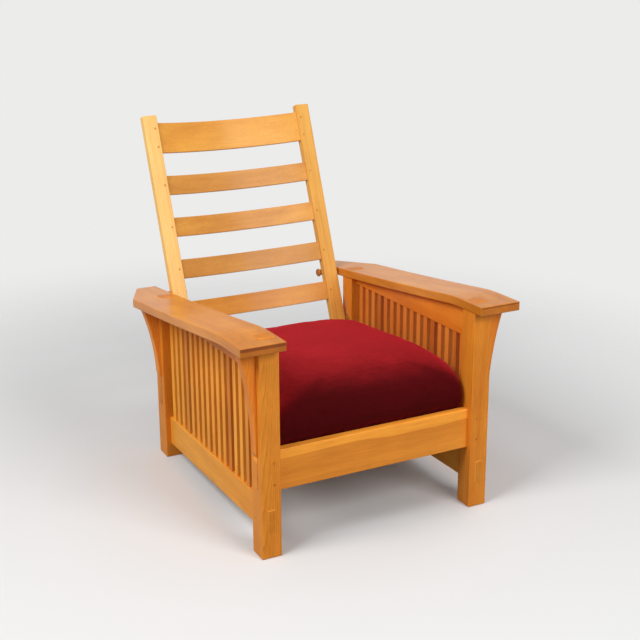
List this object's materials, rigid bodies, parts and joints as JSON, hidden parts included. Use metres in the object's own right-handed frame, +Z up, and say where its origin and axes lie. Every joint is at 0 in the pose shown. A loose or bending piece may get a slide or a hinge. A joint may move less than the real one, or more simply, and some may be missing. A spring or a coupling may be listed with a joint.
{
  "type": "reclining armchair",
  "caption": "Mission-style wooden armchair with bowed arms, spindle sides, a ladder back that pivots and leans on adjusting pegs, and an upholstered velvet seat.",
  "frame": {"origin": "bottom centre of the bounding box, on the floor between the legs", "axes": "+Z up, the chair faces -Y, +X is the right-hand side seen from the front; the chair is symmetric about X = 0"},
  "size_m": [0.83, 1.0329, 0.9857],
  "materials": {
    "frame_wood": "warm honey-orange hardwood, straight open grain, satin varnish",
    "pin_wood": "end-grain hardwood pins, satin varnish",
    "inner_wood": "unvarnished softwood",
    "velvet": "crimson velvet with a short pile",
    "webbing": "woven jute webbing",
    "screw_steel": "zinc-plated steel",
    "pin_steel": "plain steel rod",
    "spacer_brass": "dull brass"
  },
  "bodies": {
    "frame": {"frame_pins": "pin_wood", "front_cleat_screws": "screw_steel", "front_left_corbel": "frame_wood", "front_left_leg": "frame_wood", "front_right_corbel": "frame_wood", "front_right_leg": "frame_wood", "front_seat_cleat": "inner_wood", "front_seat_rail": "frame_wood", "front_seat_screws": "screw_steel", "left_arm": "frame_wood", "left_lower_rail": "frame_wood", "left_pivot_pin": "pin_steel", "left_pivot_spacer": "spacer_brass", "left_spindles": "frame_wood", "left_upper_rail": "frame_wood", "rear_cleat_screws": "screw_steel", "rear_left_corbel": "frame_wood", "rear_left_leg": "frame_wood", "rear_right_corbel": "frame_wood", "rear_right_leg": "frame_wood", "rear_seat_cleat": "inner_wood", "rear_seat_rail": "frame_wood", "rear_seat_screws": "screw_steel", "right_arm": "frame_wood", "right_lower_rail": "frame_wood", "right_pivot_pin": "pin_steel", "right_pivot_spacer": "spacer_brass", "right_spindles": "frame_wood", "right_upper_rail": "frame_wood", "seat_cushion": "velvet", "seat_front_board": "inner_wood", "seat_left_board": "inner_wood", "seat_rear_board": "inner_wood", "seat_right_board": "inner_wood", "webbing_across": "webbing", "webbing_lengthwise": "webbing"},
    "back": {"back_pins": "pin_wood", "back_slat_1": "frame_wood", "back_slat_2": "frame_wood", "back_slat_3": "frame_wood", "back_slat_4": "frame_wood", "back_slat_5": "frame_wood", "left_back_post": "frame_wood", "right_back_post": "frame_wood"},
    "left_peg": {"left_adjusting_peg": "frame_wood"},
    "right_peg": {"right_adjusting_peg": "frame_wood"}
  },
  "joints": [
    {"name": "back_tilt", "type": "hinge", "parent": "frame", "child": "back", "pos_m": [0, 0.21244, 0.336], "axis": [1, 0, 0], "range_deg": [0, 55]},
    {"name": "left_peg_slide", "type": "slide", "parent": "frame", "child": "left_peg", "axis": [1, 0, 0], "range_m": [0, 0.085]},
    {"name": "right_peg_slide", "type": "slide", "parent": "frame", "child": "right_peg", "axis": [-1, 0, 0], "range_m": [0, 0.085]}
  ]
}
